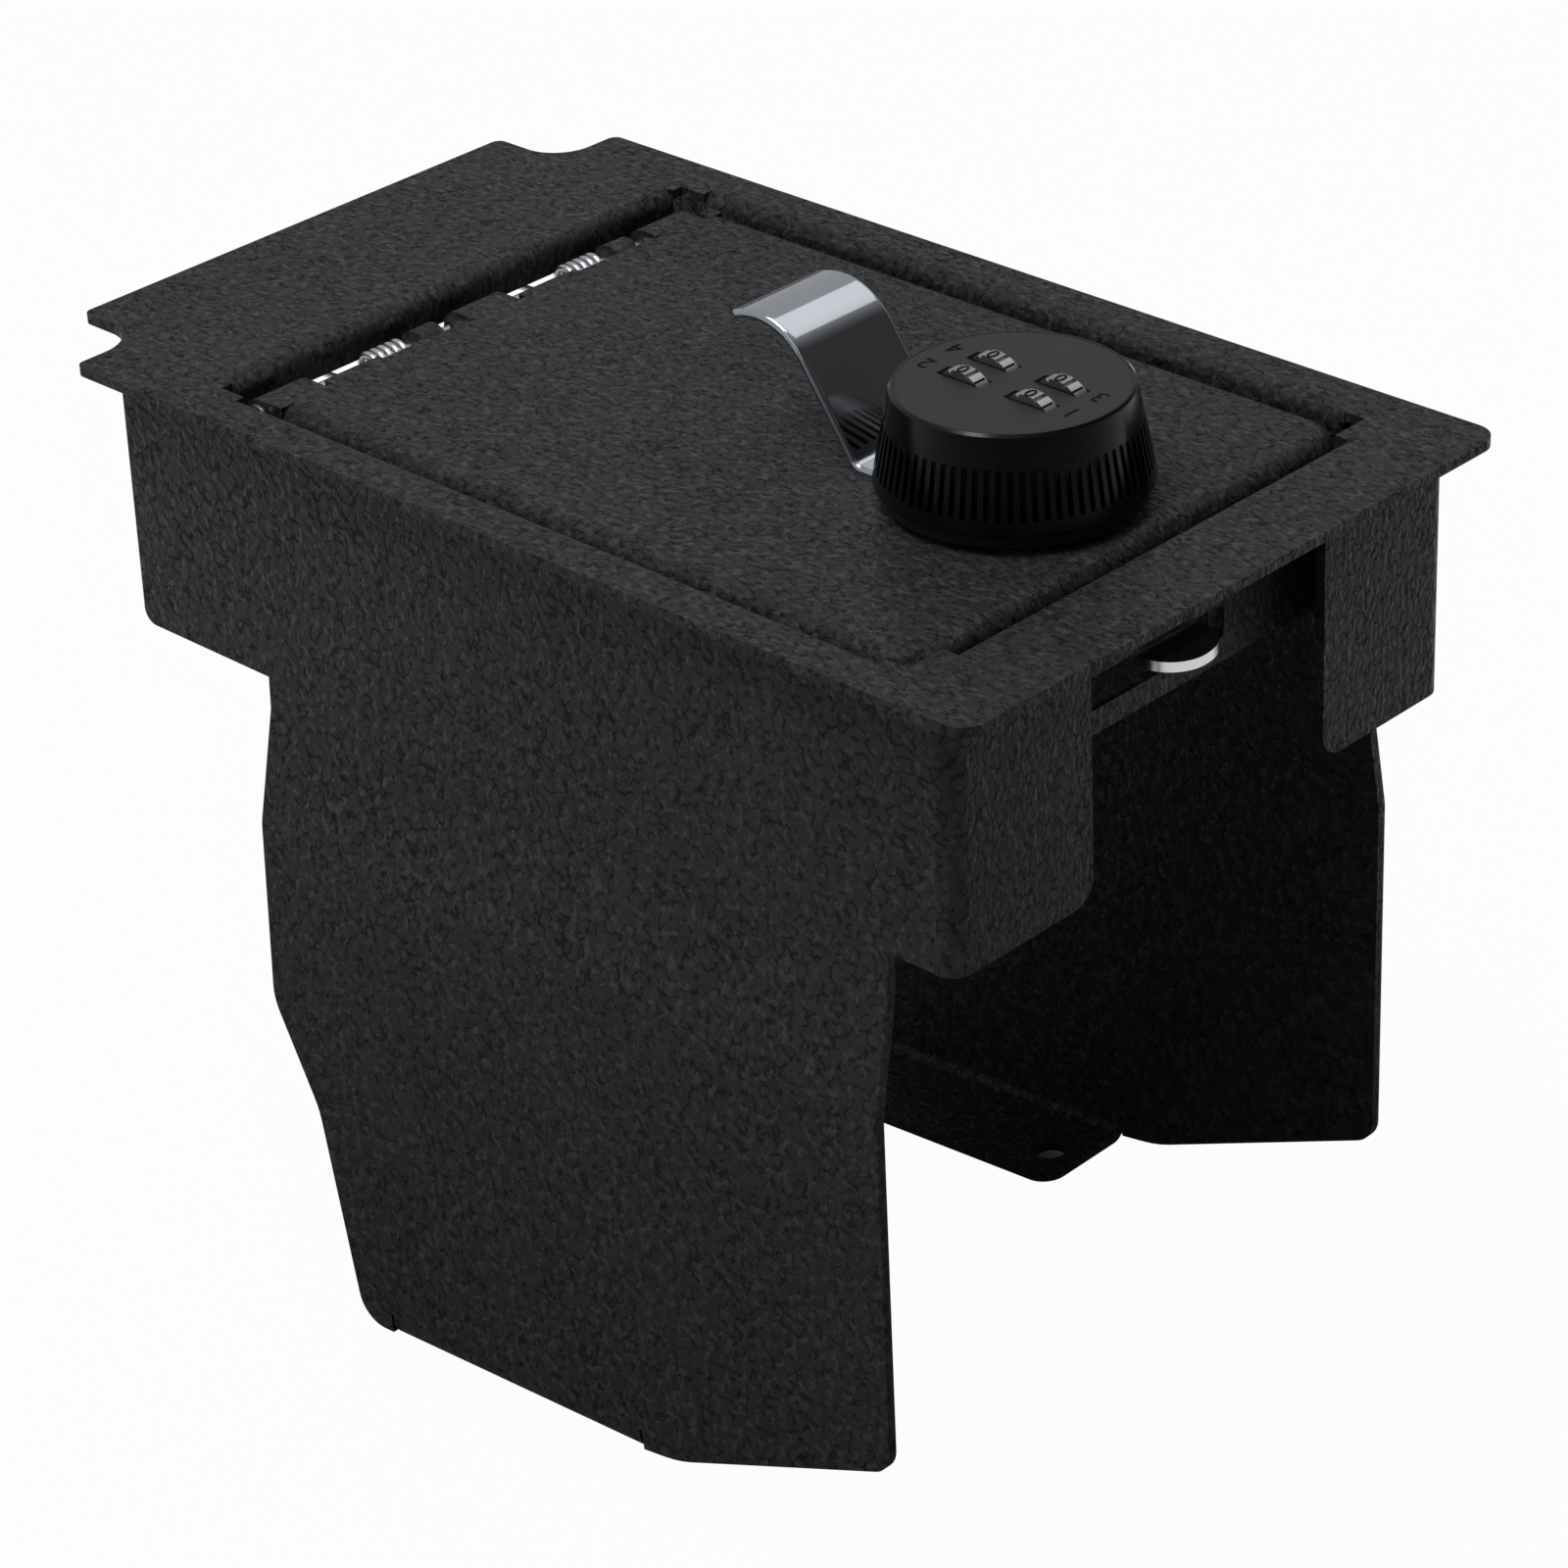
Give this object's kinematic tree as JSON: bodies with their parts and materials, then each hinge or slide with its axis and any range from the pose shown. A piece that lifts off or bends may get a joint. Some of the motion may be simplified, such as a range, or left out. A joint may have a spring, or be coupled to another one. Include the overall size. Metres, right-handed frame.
{
  "type": "console insert safe",
  "caption": "Steel insert safe for a vehicle console: flanged top, hinged lid with a combination knob and lift strip, side wings with bolt-down feet.",
  "frame": {"origin": "centre of the bounding box at its bottom, under the rear ends of the feet", "axes": "Z is normal to the flange, +Y runs to the hinge end along the length, X runs across"},
  "size_m": [0.145, 0.2464, 0.2211],
  "materials": {
    "powder_coat": "textured charcoal powder coat",
    "chrome_strip": "polished chrome",
    "knob_black": "glossy black",
    "face_grey": "satin dark grey",
    "carrier_black": "matte black",
    "dial_nickel": "nickel plated",
    "lock_black": "black",
    "zinc": "bright zinc plated"
  },
  "bodies": {
    "box": {"top_frame": "powder_coat", "left_side_panel": "powder_coat", "right_side_panel": "powder_coat", "left_hinge_ear": "powder_coat", "right_hinge_ear": "powder_coat", "hinge_pin": "zinc", "pin_retaining_rings": "zinc", "left_hinge_spring": "zinc", "right_hinge_spring": "zinc"},
    "lid": {"lid_panel": "powder_coat", "lift_handle": "chrome_strip", "lock_body": "lock_black", "lock_washer": "zinc", "lock_nut": "zinc"},
    "knob": {"knob_grip": "knob_black", "knob_face": "face_grey", "dial_frame": "carrier_black", "dial_axle_front": "dial_nickel", "dial_axle_rear": "dial_nickel", "detent_spring_left": "zinc", "detent_spring_right": "zinc", "lock_spindle": "zinc", "lock_cam": "zinc", "cam_washer": "zinc", "cam_screw": "zinc"},
    "dial_1": {"dial_wheel_1": "dial_nickel"},
    "dial_2": {"dial_wheel_2": "dial_nickel"},
    "dial_3": {"dial_wheel_3": "dial_nickel"},
    "dial_4": {"dial_wheel_4": "dial_nickel"}
  },
  "joints": [
    {"name": "lid_hinge", "type": "hinge", "parent": "box", "child": "lid", "pos_m": [0, 0.067, 0.19193], "axis": [-1, 0, 0], "range_deg": [0, 100], "deforming": ["left_hinge_spring", "right_hinge_spring"]},
    {"name": "knob_turn", "type": "hinge", "parent": "lid", "child": "knob", "pos_m": [0, -0.0699, 0.19998], "axis": [0, 0, -1], "range_deg": [0, 90]},
    {"name": "dial_1_turn", "type": "hinge", "parent": "knob", "child": "dial_1", "pos_m": [-0.004, -0.07785, 0.21319], "axis": [1, 0, 0], "continuous": true},
    {"name": "dial_2_turn", "type": "hinge", "parent": "knob", "child": "dial_2", "pos_m": [-0.004, -0.06195, 0.21319], "axis": [1, 0, 0], "continuous": true},
    {"name": "dial_3_turn", "type": "hinge", "parent": "knob", "child": "dial_3", "pos_m": [0.004, -0.07785, 0.21319], "axis": [1, 0, 0], "continuous": true},
    {"name": "dial_4_turn", "type": "hinge", "parent": "knob", "child": "dial_4", "pos_m": [0.004, -0.06195, 0.21319], "axis": [1, 0, 0], "continuous": true}
  ]
}
